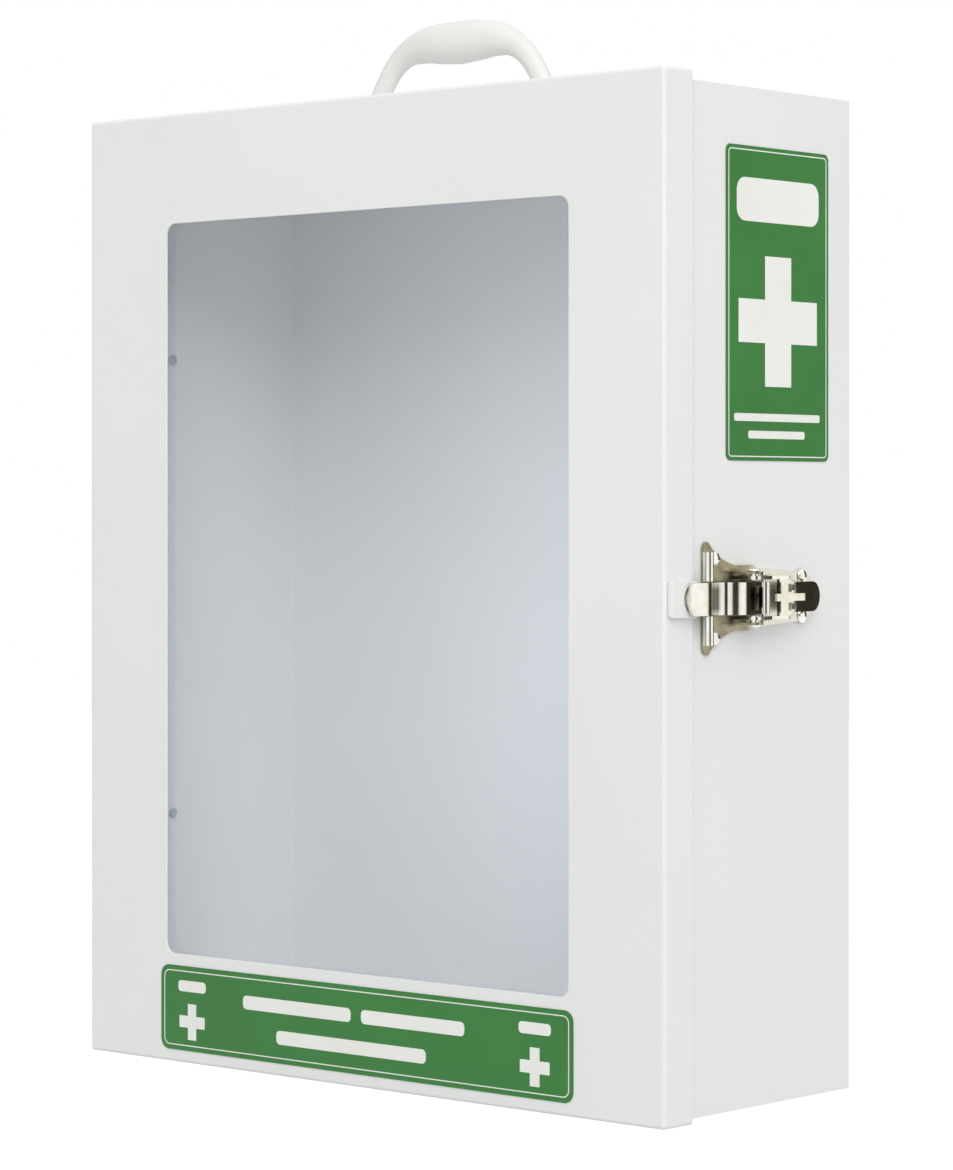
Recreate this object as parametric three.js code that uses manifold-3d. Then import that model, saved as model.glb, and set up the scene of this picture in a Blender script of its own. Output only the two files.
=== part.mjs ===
// A wall cabinet for a defibrillator: a folded steel box with a glazed door, a draw latch and a
// carry handle. Millimetres. The origin is the centre of the back's outer face, +X is the
// viewer's right, +Y points into the wall and +Z up.
import * as THREE from 'three';
import { mergeVertices } from 'three/addons/utils/BufferGeometryUtils.js';
import Module from 'manifold-3d';

const wasm = await Module();
wasm.setup();

// ---- driving dimensions ----
const sheet = 1.2; // steel thickness of the box, the door and the brackets
const bend = 1.8; // outside radius of a fold
const rest = 0.2; // left between two pieces that lie flat on each other
const clearance = 0.3; // radial room round a shank or a pin

const box = { width: 351, height: 444, depth: 134, lip: 12, trayFlange: 12 };
const door = { overSide: 2.5, overTop: 4, overBottom: 2, overFront: 3, flange: 19.5, edgeBevel: 1.6 };
const windowHole = { width: 250, low: -172.5, high: 174, corner: 5.5 };
const pane = { lap: 9, thickness: 2, corner: 3 };
const strip = { grip: 4.5, gap: 1, riser: 1.2, foot: 16, thickness: 1.2, studInset: 20, studLine: 9 };
const stud = { radius: 2, length: 7, nutAcross: 7, nutHeight: 3.2 };
const label = { thickness: 0.3, gap: 0.1 };
const frontLabel = { width: 256, low: -218, high: -178, corner: 5 };
const sideLabel = { fromFront: 45.3, width: 74.5, low: 59.5, high: 196.5, corner: 3 };
const hinge = { height: 112, length: 60, knuckle: 2.8, pin: 1.2, knuckles: 5, rivetSpread: 20 };
const handle = {
  y: -67, pivotLift: 6.5, footX: 53.7, shoulderX: 36, shoulderLift: 25.5, topLift: 31.5,
  legWidth: 9, legDepth: 10, gripHalf: 31, gripRadius: 8.6, gripEnd: 5, gripLift: 27.7,
};
const rubberFoot = { radius: 8, height: 3.4, edge: 1, taper: 0.6, x: 145, back: -25, front: -108 };
const keyhole = { x: 130, z: 203, head: 5, slot: 2.75, drop: 9 };
const screwHole = { x: 130, z: -203, radius: 4 };

const halfBox = box.width / 2;
const topZ = box.height / 2;
const halfDoor = halfBox + door.overSide;
const doorFront = -(box.depth + door.overFront);
const doorBack = doorFront + door.flange;
const doorInside = doorFront + sheet;
const halfWindow = windowHole.width / 2;

// ---- materials ----
const finish = (color, roughness, metalness) =>
  new THREE.MeshStandardMaterial({ color, roughness, metalness });
const whitePaint = finish('#e4e6e6', 0.42, 0);
const clearAcrylic = new THREE.MeshStandardMaterial({
  color: '#eef3f5', roughness: 0.05, metalness: 0, transparent: true, opacity: 0.2,
});
const zincPlate = finish('#b9bcc0', 0.35, 1);
const nickelPlate = finish('#c9c6bc', 0.22, 1);
const greenVinyl = finish('#37763a', 0.38, 0);
const handlePlastic = finish('#e6e7e3', 0.45, 0);
const blackRubber = finish('#26282a', 0.8, 0);

// ---- helpers ----
const planes = {
  xy: new THREE.Matrix4(),
  xz: new THREE.Matrix4().makeBasis(
    new THREE.Vector3(1, 0, 0), new THREE.Vector3(0, 0, 1), new THREE.Vector3(0, -1, 0)),
  yz: new THREE.Matrix4().makeBasis(
    new THREE.Vector3(0, 1, 0), new THREE.Vector3(0, 0, 1), new THREE.Vector3(1, 0, 0)),
};

function toSolid(geometry) {
  geometry.deleteAttribute('normal');
  geometry.deleteAttribute('uv');
  const merged = mergeVertices(geometry, 1e-4);
  return new wasm.Manifold(new wasm.Mesh({
    numProp: 3,
    vertProperties: new Float32Array(merged.attributes.position.array),
    triVerts: new Uint32Array(merged.index.array),
  }));
}

function toGeometry(solid) {
  const mesh = solid.getMesh();
  const geometry = new THREE.BufferGeometry();
  geometry.setAttribute('position', new THREE.BufferAttribute(mesh.vertProperties, 3));
  geometry.setIndex(new THREE.BufferAttribute(mesh.triVerts, 1));
  geometry.computeVertexNormals();
  return geometry;
}

// A shape drawn in one plane, made solid from low to high along that plane's normal axis.
function extrude(plane, shape, low, high, bevel = 0, curveSegments = 6) {
  const geometry = new THREE.ExtrudeGeometry(shape, {
    depth: high - low - 2 * bevel, bevelEnabled: bevel > 0, bevelSize: bevel,
    bevelThickness: bevel, bevelOffset: -bevel, bevelSegments: 3, curveSegments,
  });
  geometry.translate(0, 0, bevel + (plane === 'xz' ? -high : low));
  geometry.applyMatrix4(planes[plane]);
  return toSolid(geometry);
}

function block(xs, ys, zs) {
  const geometry = new THREE.BoxGeometry(xs[1] - xs[0], ys[1] - ys[0], zs[1] - zs[0]);
  geometry.translate((xs[0] + xs[1]) / 2, (ys[0] + ys[1]) / 2, (zs[0] + zs[1]) / 2);
  return toSolid(geometry);
}

function disc(a, b, radius) {
  return new THREE.Shape().absarc(a, b, radius, 0, 2 * Math.PI);
}

function rod(plane, a, b, radius, low, high, curveSegments = 6) {
  return extrude(plane, disc(a, b, radius), low, high, 0, curveSegments);
}

function polygon(points) {
  return new THREE.Shape(points.map(([a, b]) => new THREE.Vector2(a, b)));
}

function roundedRect(left, right, low, high, radius) {
  const quarter = Math.PI / 2;
  return new THREE.Shape()
    .moveTo(left + radius, low)
    .lineTo(right - radius, low)
    .absarc(right - radius, low + radius, radius, -quarter, 0)
    .lineTo(right, high - radius)
    .absarc(right - radius, high - radius, radius, 0, quarter)
    .lineTo(left + radius, high)
    .absarc(left + radius, high - radius, radius, quarter, 2 * quarter)
    .lineTo(left, low + radius)
    .absarc(left + radius, low + radius, radius, 2 * quarter, 3 * quarter);
}

// A slot with round ends between two points.
function capsule(from, to, radius) {
  const angle = Math.atan2(to[1] - from[1], to[0] - from[0]);
  const quarter = Math.PI / 2;
  return new THREE.Shape()
    .absarc(from[0], from[1], radius, angle + quarter, angle + 3 * quarter)
    .absarc(to[0], to[1], radius, angle - quarter, angle + quarter);
}

// A strip of even thickness along a smooth curve through the points.
function ribbon(points, thickness, steps) {
  const curve = new THREE.SplineCurve(points.map(([a, b]) => new THREE.Vector2(a, b)));
  const sides = [1, -1].map((side) => {
    const edge = [];
    for (let i = 0; i <= steps; i += 1) {
      const t = i / steps;
      const across = curve.getTangentAt(t).rotateAround(new THREE.Vector2(), Math.PI / 2);
      edge.push(curve.getPointAt(t).addScaledVector(across, (side * thickness) / 2));
    }
    return edge;
  });
  return new THREE.Shape([...sides[0], ...sides[1].reverse()]);
}

// A profile of [radius, y] points turned about the Y axis.
function turned(profile, segments) {
  return new THREE.LatheGeometry(profile.map(([r, y]) => new THREE.Vector2(r, y)), segments);
}

function part(parent, name, geometry, material) {
  const mesh = new THREE.Mesh(geometry.isBufferGeometry ? geometry : toGeometry(geometry), material);
  mesh.name = name;
  parent.add(mesh);
  return mesh;
}

// ---- fasteners ----
const rivet = { shank: 1.6, head: 3.2, headHeight: 1.3, tail: 2.3, tailHeight: 0.8, seat: 0.15 };

// A blind rivet whose head points along +Y, with its tail's underside at y = 0 and its head's
// underside at y = grip.
function rivetGeometry(grip) {
  const profile = [
    [0, -rivet.tailHeight], [rivet.tail, -rivet.tailHeight], [rivet.tail, 0], [rivet.shank, 0],
    [rivet.shank, grip], [rivet.head, grip], [rivet.head * 0.82, grip + rivet.headHeight * 0.65],
    [0, grip + rivet.headHeight],
  ];
  return turned(profile, 10);
}

const turns = {
  '+X': [0, 0, -Math.PI / 2], '-X': [0, 0, Math.PI / 2], '+Z': [Math.PI / 2, 0, 0],
};

// A rivet through the layers between two surfaces; its head is on the outer one.
function addRivet(parent, name, facing, inner, outer, a, b, material) {
  const thickness = Math.abs(outer - inner) + 2 * rivet.seat;
  const mesh = part(parent, name, rivetGeometry(thickness), material);
  mesh.rotation.set(...turns[facing]);
  const start = inner - Math.sign(outer - inner) * rivet.seat;
  if (facing === '+Z') mesh.position.set(a, b, start);
  else mesh.position.set(start, a, b);
}

const rivetHole = rivet.shank + clearance;

// ---- cabinet box ----
const hingeY = doorBack + 2.5; // centre of the hinge pin, just behind the door's flange
const hingeX = -(halfDoor + rest + hinge.knuckle);
const cabinetRivetsY = [hingeY + 13, hingeY + 29.5];
const doorRivetY = hingeY - 11;
const latchFront = doorFront + 0.5; // where the latch's own drawing starts

function hingeRivetPlaces() {
  const places = [];
  for (const side of [1, -1]) {
    for (const dz of [hinge.rivetSpread, -hinge.rivetSpread]) {
      places.push([cabinetRivetsY[0], side * hinge.height + dz]);
    }
    places.push([cabinetRivetsY[1], side * hinge.height]);
  }
  return places;
}

const latchRivetPlaces = [[35.5, 17], [35.5, -17], [98, 8.8], [98, -8.8]]; // behind latchFront, up

function cabinetShell() {
  const outline = roundedRect(-halfBox, halfBox, -box.depth, 0, bend);
  const hollow = roundedRect(
    -halfBox + sheet, halfBox - sheet, -box.depth + sheet, -sheet, bend - sheet);
  outline.holes.push(hollow);
  let shell = extrude('xy', outline, -topZ, topZ, 0, 3);
  const mouth = halfBox - box.lip;
  shell = shell.subtract(block([-mouth, mouth], [-box.depth - 1, -box.depth / 2], [-topZ - 1, topZ + 1]));
  for (const side of [1, -1]) {
    const x = side * keyhole.x;
    const low = keyhole.z - keyhole.drop;
    const slot = capsule([x, low], [x, keyhole.z], keyhole.slot);
    shell = shell.subtract(rod('xz', x, low, keyhole.head, -sheet - 1, 1));
    shell = shell.subtract(extrude('xz', slot, -sheet - 1, 1));
    shell = shell.subtract(rod('xz', side * screwHole.x, screwHole.z, screwHole.radius, -sheet - 1, 1));
  }
  for (const [y, z] of hingeRivetPlaces()) {
    const ends = [-halfBox - 1, -halfBox + sheet + 1];
    shell = shell.subtract(rod('yz', y, z, rivetHole, ...ends, 4));
  }
  for (const [u, z] of latchRivetPlaces) {
    const ends = [halfBox - sheet - 1, halfBox + 1];
    shell = shell.subtract(rod('yz', latchFront + u, z, rivetHole, ...ends, 4));
  }
  return shell;
}

// A shallow tray that closes the box: its plate is outside and its flanges turn inwards.
// side is +1 for the top and -1 for the bottom.
function tray(side) {
  const halfWidth = halfBox - sheet - clearance;
  const back = -sheet - clearance;
  const front = -box.depth + sheet + clearance;
  const mouth = halfBox - box.lip - clearance;
  const span = (from, to) => (side > 0 ? [from, to] : [-to, -from]);
  const plateZ = span(topZ - sheet, topZ);
  const flangeZ = span(topZ - box.trayFlange, topZ);
  let solid = block([-halfWidth, halfWidth], [front, back], plateZ);
  solid = solid.add(block([-mouth, mouth], [-box.depth, front + 1], plateZ));
  solid = solid.add(block([-mouth, mouth], [-box.depth, -box.depth + sheet], flangeZ));
  for (const x of [-halfWidth, halfWidth - sheet]) {
    solid = solid.add(block([x, x + sheet], [front, back], flangeZ));
  }
  return solid.add(block([-halfWidth, halfWidth], [back - sheet, back], flangeZ));
}

function rubberFootGeometry() {
  const { radius, height, edge, taper } = rubberFoot;
  return turned([[0, 0], [radius - edge, 0], [radius, edge], [radius - taper, height], [0, height]], 16);
}

function addFeet(parent) {
  const places = [
    ['front_left', -1, rubberFoot.front], ['front_right', 1, rubberFoot.front],
    ['rear_left', -1, rubberFoot.back], ['rear_right', 1, rubberFoot.back],
  ];
  for (const [name, side, y] of places) {
    const foot = part(parent, `foot_${name}`, rubberFootGeometry(), blackRubber);
    foot.rotation.x = Math.PI / 2;
    foot.position.set(side * rubberFoot.x, y, -topZ - rest - rubberFoot.height);
  }
}

// ---- door ----
const doorLow = -topZ - door.overBottom;
const doorHigh = topZ + door.overTop;
const paneHalf = halfWindow + pane.lap;
const paneLow = windowHole.low - pane.lap;
const paneHigh = windowHole.high + pane.lap;
const paneFront = doorInside + clearance;
const paneBack = paneFront + pane.thickness;

// Each strip: its name, its length along the pane's edge, its two studs and its cross direction.
const stripRuns = [
  { name: 'top', along: 'x', from: -120, to: 120, edge: paneHigh, out: 1 },
  { name: 'bottom', along: 'x', from: -120, to: 120, edge: paneLow, out: -1 },
  { name: 'left', along: 'z', from: -150, to: 153, edge: -paneHalf, out: -1 },
  { name: 'right', along: 'z', from: -150, to: 153, edge: paneHalf, out: 1 },
];

function studPlaces(run) {
  const across = run.edge + run.out * strip.studLine;
  return [run.to - strip.studInset, run.from + strip.studInset].map((along) =>
    (run.along === 'x' ? [along, across] : [across, along]));
}

function doorPanel() {
  const outer = roundedRect(-halfDoor, halfDoor, doorLow, doorHigh, bend + 0.4);
  const inner = roundedRect(
    -halfDoor + sheet, halfDoor - sheet, doorLow + sheet, doorHigh - sheet, bend - sheet);
  const spare = 2 * door.edgeBevel; // the bevelled rear end, cut off so that the flanges end flat
  const tall = extrude('xz', outer, doorFront, doorBack + spare, door.edgeBevel, 3)
    .subtract(block([-halfDoor, halfDoor], [doorBack, doorBack + 2 * spare], [doorLow, doorHigh]));
  let panel = tall.subtract(extrude('xz', inner, doorInside, doorBack + 1, 0, 3));
  const hole = roundedRect(
    -halfWindow, halfWindow, windowHole.low, windowHole.high, windowHole.corner);
  panel = panel.subtract(extrude('xz', hole, doorFront - 1, doorInside + 1, 0, 4));
  for (const run of stripRuns) {
    for (const [x, z] of studPlaces(run)) {
      const ends = [doorInside - sheet / 2, doorInside + stud.length];
      panel = panel.add(rod('xz', x, z, stud.radius, ...ends, 4));
    }
  }
  for (const side of [1, -1]) {
    for (const dz of [hinge.rivetSpread, -hinge.rivetSpread]) {
      const z = side * hinge.height + dz;
      const ends = [-halfDoor - 1, -halfDoor + sheet + 1];
      panel = panel.subtract(rod('yz', doorRivetY, z, rivetHole, ...ends, 4));
    }
  }
  return panel;
}

function windowPane() {
  const outline = roundedRect(-paneHalf, paneHalf, paneLow, paneHigh, pane.corner);
  return extrude('xz', outline, paneFront, paneBack, 0, 2);
}

// A joggled strip: its foot lies on the door and its lip steps up over the pane's edge.
function paneStrip(run) {
  const footY = [doorInside + clearance, doorInside + clearance + strip.thickness];
  const lipY = [paneBack + clearance, paneBack + clearance + strip.thickness];
  const place = (near, far, ys) => {
    const across = [run.edge + run.out * near, run.edge + run.out * far].sort((a, b) => a - b);
    const along = [run.from, run.to];
    return run.along === 'x' ? block(along, ys, across) : block(across, ys, along);
  };
  const stepEnd = strip.gap + strip.riser;
  let solid = place(strip.gap, strip.foot, footY)
    .add(place(strip.gap, stepEnd, [footY[0], lipY[1]]))
    .add(place(-strip.grip, stepEnd, lipY));
  for (const [x, z] of studPlaces(run)) {
    const hole = stud.radius + clearance;
    solid = solid.subtract(rod('xz', x, z, hole, footY[0] - 1, footY[1] + 1, 4));
  }
  return solid;
}

function hexNut() {
  const corner = stud.nutAcross / Math.sqrt(3);
  const points = [0, 1, 2, 3, 4, 5].map((i) =>
    [corner * Math.cos((i * Math.PI) / 3), corner * Math.sin((i * Math.PI) / 3)]);
  const outline = polygon(points);
  outline.holes.push(disc(0, 0, stud.radius + clearance));
  return extrude('xz', outline, 0, stud.nutHeight, 0, 4);
}

function addGlazing(parent) {
  part(parent, 'window_pane', windowPane(), clearAcrylic);
  const nutY = doorInside + 2 * clearance + strip.thickness;
  for (const run of stripRuns) {
    part(parent, `pane_strip_${run.name}`, paneStrip(run), zincPlate);
    studPlaces(run).forEach(([x, z], i) => {
      const nut = part(parent, `pane_nut_${run.name}_${i + 1}`, hexNut(), zincPlate);
      nut.position.set(x, nutY, z);
    });
  }
}

// ---- labels ----
function addLabels(doorGroup, cabinetGroup) {
  const half = frontLabel.width / 2;
  const y = doorFront - label.gap;
  const front = roundedRect(-half, half, frontLabel.low, frontLabel.high, frontLabel.corner);
  part(doorGroup, 'front_label', extrude('xz', front, y - label.thickness, y, 0, 3), greenVinyl);
  const near = doorFront + sideLabel.fromFront;
  const x = halfBox + label.gap;
  const { width, low, high, corner } = sideLabel;
  const side = roundedRect(near, near + width, low, high, corner);
  part(cabinetGroup, 'side_label', extrude('yz', side, x, x + label.thickness, 0, 3), greenVinyl);
}

// ---- hinges ----
const leaf = {
  thickness: 1.2, doorReach: 18, cabinetReach: 34, step: 3.3, joggle: 3.4, tongue: 7, cutFrom: 20,
};

// The knuckles of one leaf: every second one, starting at the given index.
function knuckleSpans(first) {
  const pitch = hinge.length / hinge.knuckles;
  const spans = [];
  for (let i = first; i < hinge.knuckles; i += 2) {
    const low = -hinge.length / 2 + i * pitch;
    spans.push([low + clearance / 2, low + pitch - clearance / 2]);
  }
  return spans;
}

function hingeLeaf(plate, neck, first, holes) {
  let solid = extrude('xy', polygon(plate), -hinge.length / 2, hinge.length / 2);
  for (const [low, high] of knuckleSpans(first)) {
    solid = solid.add(rod('xy', hingeX, hingeY, hinge.knuckle, low, high));
    solid = solid.add(block(...neck, [low, high]));
  }
  solid = solid.subtract(rod('xy', hingeX, hingeY, hinge.pin + clearance, -hinge.length, hinge.length));
  for (const [y, z] of holes) {
    solid = solid.subtract(rod('yz', y, z, rivetHole, hingeX, -halfBox, 4));
  }
  return solid;
}

function doorLeaf() {
  const near = -halfDoor - rest;
  const far = near - leaf.thickness;
  const plateEnd = hingeY - leaf.step;
  const plateStart = hingeY - leaf.doorReach;
  const plate = [[far, plateStart], [near, plateStart], [near, plateEnd], [far, plateEnd]];
  const neck = [[far, near], [plateEnd - 1, hingeY]];
  const holes = [1, -1].map((s) => [doorRivetY, s * hinge.rivetSpread]);
  return hingeLeaf(plate, neck, 1, holes);
}

function cabinetLeaf() {
  const high = -halfDoor - rest;
  const low = -halfBox - rest;
  const t = leaf.thickness;
  const start = hingeY + leaf.step;
  const end = hingeY + leaf.cabinetReach;
  const down = start + leaf.joggle; // where the plate has stepped in to the cabinet's side
  const plate = [
    [high - t, start], [high, start], [low, down], [low, end], [low - t, end], [low - t, down + t / 2],
  ];
  const neck = [[high - t, high], [hingeY, start + clearance]];
  const holes = [
    [cabinetRivetsY[0], hinge.rivetSpread], [cabinetRivetsY[0], -hinge.rivetSpread],
    [cabinetRivetsY[1], 0],
  ];
  const edge = hinge.length / 2 + 1;
  const corners = [1, -1].map((s) => extrude('yz', polygon([
    [hingeY + leaf.cutFrom, s * edge], [end + 1, s * edge], [end + 1, s * leaf.tongue],
  ]), -halfDoor - 5, -halfBox));
  return corners.reduce((solid, corner) => solid.subtract(corner), hingeLeaf(plate, neck, 0, holes));
}

function addHinge(side, place, cabinetGroup, doorGroup) {
  const z = side * hinge.height;
  part(cabinetGroup, `hinge_${place}_cabinet_leaf`, cabinetLeaf(), zincPlate).position.z = z;
  part(doorGroup, `hinge_${place}_door_leaf`, doorLeaf(), zincPlate).position.z = z;
  const pinEnd = hinge.length / 2 + 1;
  const pin = rod('xy', hingeX, hingeY, hinge.pin, -pinEnd, pinEnd);
  part(cabinetGroup, `hinge_${place}_pin`, pin, zincPlate).position.z = z;
  const inner = -halfBox + sheet;
  const outer = -halfBox - rest - leaf.thickness;
  const places = [[0, hinge.rivetSpread], [0, -hinge.rivetSpread], [1, 0]];
  places.forEach(([row, dz], i) => addRivet(
    cabinetGroup, `hinge_${place}_cabinet_rivet_${i + 1}`, '-X', inner, outer,
    cabinetRivetsY[row], z + dz, zincPlate));
  const flangeInner = -halfDoor + sheet;
  const flangeOuter = -halfDoor - rest - leaf.thickness;
  [1, -1].forEach((s, i) => addRivet(
    doorGroup, `hinge_${place}_door_rivet_${i + 1}`, '-X', flangeInner, flangeOuter,
    doorRivetY, z + s * hinge.rivetSpread, zincPlate));
}

// ---- draw latch ----
// Drawn in its own group: x is the height off the cabinet's side, y the distance behind
// latchFront, and z is up. The lever turns about the pivot, and the claw about the pin
// that the lever carries. Shut, the pin lies just inside the line of pull, which holds it shut.
const pivot = [8.2, 54.5];
const clawPin = [7.4, 62.8];
const latchPin = { radius: 1.2, reach: 9.7, head: 1.9, headHeight: 1 };
const pivotStub = { radius: 2, inner: 7.6, head: 2.9, headEdge: 2.4, headHeight: 1.1 };
const base = {
  front: 27.4, tip: 24.4, tipRadius: 3.4, waist: 14.2, waistFrom: 50, waistTo: 63, shoulder: 12.7,
  shoulderFrom: 66, end: 105, endHalf: 8, endCorner: 10.8,
};
const bar = { height: 3, behind: 29, radius: 2.4, inner: 7.5, outer: 20 };
const ear = { inner: 10.5, outer: 11.5, radius: 4, spread: 6.5 };
const claw = {
  half: 7, thickness: 1.5, eye: 2.5, tipAt: 21, tipRadius: 11, window: [48, 59.6, 5], lipHeight: 3.9,
};
const lever = {
  half: 6.6, inner: 8, outer: 9.5, round: 3.4, arm: 2.4, webFrom: 70.2, webTo: 75.4, narrowAt: 79,
  tipAt: 98.4, web: 1.5, tongue: [67.4, 87.5, 1.6], slot: [76.4, 81, 2.3, 5.9], raised: [9.6, 11],
};
const keeper = {
  low: door.overSide + rest, high: door.overSide + rest + 2.5, near: 1.4, far: 19.5, half: 7.9,
  slotAt: 16.6, slot: 6.7, wall: 13.6,
};

function latchPlateOutline() {
  const { front, tip, tipRadius: r, waist, waistFrom, waistTo, shoulder, shoulderFrom, end } = base;
  const quarter = Math.PI / 2;
  const endBend = end - (base.endCorner - base.endHalf) * 1.7;
  const rear = [
    [waistTo, waist], [shoulderFrom, shoulder], [endBend, base.endCorner], [end, base.endHalf],
  ];
  const outline = new THREE.Shape().moveTo(front, tip - r).lineTo(front, -tip + r);
  outline.absarc(front + r, -tip + r, r, Math.PI, 3 * quarter);
  outline.quadraticCurveTo(front + 3 * r, -waist - 2, waistFrom, -waist);
  for (const [u, z] of rear) outline.lineTo(u, -z);
  for (const [u, z] of rear.reverse()) outline.lineTo(u, z);
  outline.lineTo(waistFrom, waist);
  outline.quadraticCurveTo(front + 3 * r, waist + 2, front + r, tip);
  outline.absarc(front + r, tip - r, r, quarter, 2 * quarter);
  return outline;
}

function bothSides(shape, inner, outer) {
  return [1, -1]
    .map((side) => extrude('xy', shape, ...[side * inner, side * outer].sort((a, b) => a - b)))
    .reduce((one, other) => one.add(other));
}

function latchBase() {
  const quarter = Math.PI / 2;
  const foot = rest + sheet / 2;
  const earShape = new THREE.Shape()
    .moveTo(foot, pivot[1] - ear.spread)
    .lineTo(pivot[0], pivot[1] - ear.radius)
    .absarc(pivot[0], pivot[1], ear.radius, -quarter, quarter)
    .lineTo(foot, pivot[1] + ear.spread);
  let solid = extrude('yz', latchPlateOutline(), rest, rest + sheet, 0, 5)
    .add(bothSides(earShape, ear.inner, ear.outer))
    .add(bothSides(disc(bar.height, bar.behind, bar.radius), bar.inner, bar.outer))
    .subtract(rod('xy', ...pivot, pivotStub.radius + clearance, -20, 20, 5));
  for (const [u, z] of latchRivetPlaces) {
    solid = solid.subtract(rod('yz', u, z, rivetHole, -1, rest + sheet + 0.5, 4));
  }
  return solid;
}

// The claw's side view, from its pin to its hooked tip.
const clawLine = [
  clawPin, [8.8, 57], [9.6, 51], [10.6, 46.5], [11, 43], [10.5, 40.8], [8.9, 38.3], [6.6, 36],
  [5.6, 32.8], [5.7, 30.6], [7.1, 26.6], [8.3, 22.4], [8.4, 17.5], [7.4, 10.6],
];

function latchClaw() {
  const { half, tipAt, tipRadius, eye, thickness } = claw;
  const spread = Math.asin(half / tipRadius);
  const plan = new THREE.Shape()
    .absarc(tipAt, 0, tipRadius, Math.PI - spread, Math.PI + spread)
    .lineTo(clawPin[1], -half)
    .lineTo(clawPin[1], half);
  const [from, to, halfHole] = claw.window;
  plan.holes.push(roundedRect(from, to, -halfHole, halfHole, 1));
  const strap = extrude('xy', ribbon(clawLine, thickness, 36), -half, half)
    .intersect(extrude('yz', plan, 0, 20));
  return strap
    .add(rod('xy', ...clawPin, eye, -half, half, 8))
    .add(clawLip())
    .subtract(rod('xy', ...clawPin, latchPin.radius + clearance, -10, 10));
}

// The claw's turned-down lip: a curved wall that stands in the keeper's slot.
function clawLip() {
  const outer = keeper.slot - 0.8;
  const inner = outer - claw.thickness;
  const quarter = Math.PI / 2;
  const lip = new THREE.Shape().absarc(keeper.slotAt, 0, outer, quarter, 3 * quarter);
  lip.absarc(keeper.slotAt, 0, inner, 3 * quarter, quarter, true);
  return extrude('yz', lip, claw.lipHeight, 7.6)
    .subtract(block([0, 20], [keeper.wall - 0.4, 30], [-10, 10]));
}

// The lever's side view: flat over the pin, then falling towards the cabinet to its tip.
const leverLine = [[9.4, 69], [9.4, 80], [9.1, 84], [8.3, 89], [7.4, 94], [6.4, 99], [5.3, 106]];

function latchLever() {
  const { half, inner, outer, webFrom, webTo, narrowAt, tipAt, slot, tongue, raised } = lever;
  const quarter = Math.PI / 2;
  const plan = new THREE.Shape()
    .moveTo(webFrom, -outer).lineTo(narrowAt - 2, -outer).lineTo(narrowAt, -half)
    .absarc(tipAt, 0, half, -quarter, quarter)
    .lineTo(narrowAt, half).lineTo(narrowAt - 2, outer).lineTo(webFrom, outer);
  for (const side of [1, -1]) {
    const [low, high] = [side * slot[2], side * slot[3]].sort((a, b) => a - b);
    plan.holes.push(roundedRect(slot[0], slot[1], low, high, 0.6));
  }
  return extrude('xy', ribbon(leverLine, lever.web, 10), -outer, outer)
    .intersect(extrude('yz', plan, 0, 20))
    .add(bothSides(capsule(pivot, clawPin, lever.round), inner, outer))
    .add(bothSides(capsule(clawPin, [raised[0] - 0.6, webTo], lever.arm), inner, outer))
    .add(block(raised, [webFrom, webTo], [-half, half]))
    .add(block(raised, [tongue[0], tongue[1]], [-tongue[2], tongue[2]]))
    .subtract(rod('xy', ...pivot, pivotStub.radius + clearance, -20, 20, 5))
    .subtract(rod('xy', ...clawPin, latchPin.radius + clearance, -20, 20));
}

function addLatch(cabinetGroup, doorGroup) {
  const fixed = new THREE.Group();
  fixed.position.set(halfBox, latchFront, 0);
  cabinetGroup.add(fixed);
  part(fixed, 'latch_base', latchBase(), nickelPlate);
  latchRivetPlaces.forEach(([u, z], i) => addRivet(
    fixed, `latch_base_rivet_${i + 1}`, '+X', -sheet, rest + sheet, u, z, nickelPlate));
  part(fixed, 'latch_lever', latchLever(), nickelPlate);
  part(fixed, 'latch_claw', latchClaw(), nickelPlate);
  addLatchPins(fixed);
  const moving = new THREE.Group();
  moving.position.copy(fixed.position);
  doorGroup.add(moving);
  part(moving, 'latch_keeper', latchKeeper(), whitePaint);
}

function addLatchPins(parent) {
  const { radius, reach, head, headHeight } = latchPin;
  const pin = part(parent, 'latch_claw_pin', turned([
    [0, -reach - headHeight], [head, -reach - headHeight], [head, -reach], [radius, -reach],
    [radius, reach], [head, reach], [head, reach + headHeight], [0, reach + headHeight],
  ], 12), nickelPlate);
  pin.rotation.x = Math.PI / 2;
  pin.position.set(...clawPin, 0);
  const seat = ear.outer + rest;
  for (const [side, name] of [[1, 'upper'], [-1, 'lower']]) {
    const stub = part(parent, `latch_pivot_${name}`, turned([
      [0, pivotStub.inner], [pivotStub.radius, pivotStub.inner], [pivotStub.radius, seat],
      [pivotStub.head, seat], [pivotStub.headEdge, seat + pivotStub.headHeight * 0.8],
      [0, seat + pivotStub.headHeight],
    ], 12), nickelPlate);
    stub.rotation.x = (side * Math.PI) / 2;
    stub.position.set(...pivot, 0);
  }
}

function latchKeeper() {
  const { low, high, near, far, half, slotAt, slot, wall } = keeper;
  const pad = extrude('yz', roundedRect(near, far, -half, half, 1.5), low, high, 0, 2);
  const slotSolid = rod('yz', slotAt, 0, slot, low - 1, high + 1, 8)
    .subtract(block([0, 20], [wall, 30], [-10, 10]));
  return pad.subtract(slotSolid);
}

// ---- carry handle ----
const pivotZ = topZ + handle.pivotLift;
const lug = { x: 57.5, foot: 18, half: 7, radius: 4.2, hole: 2.8 };

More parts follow.
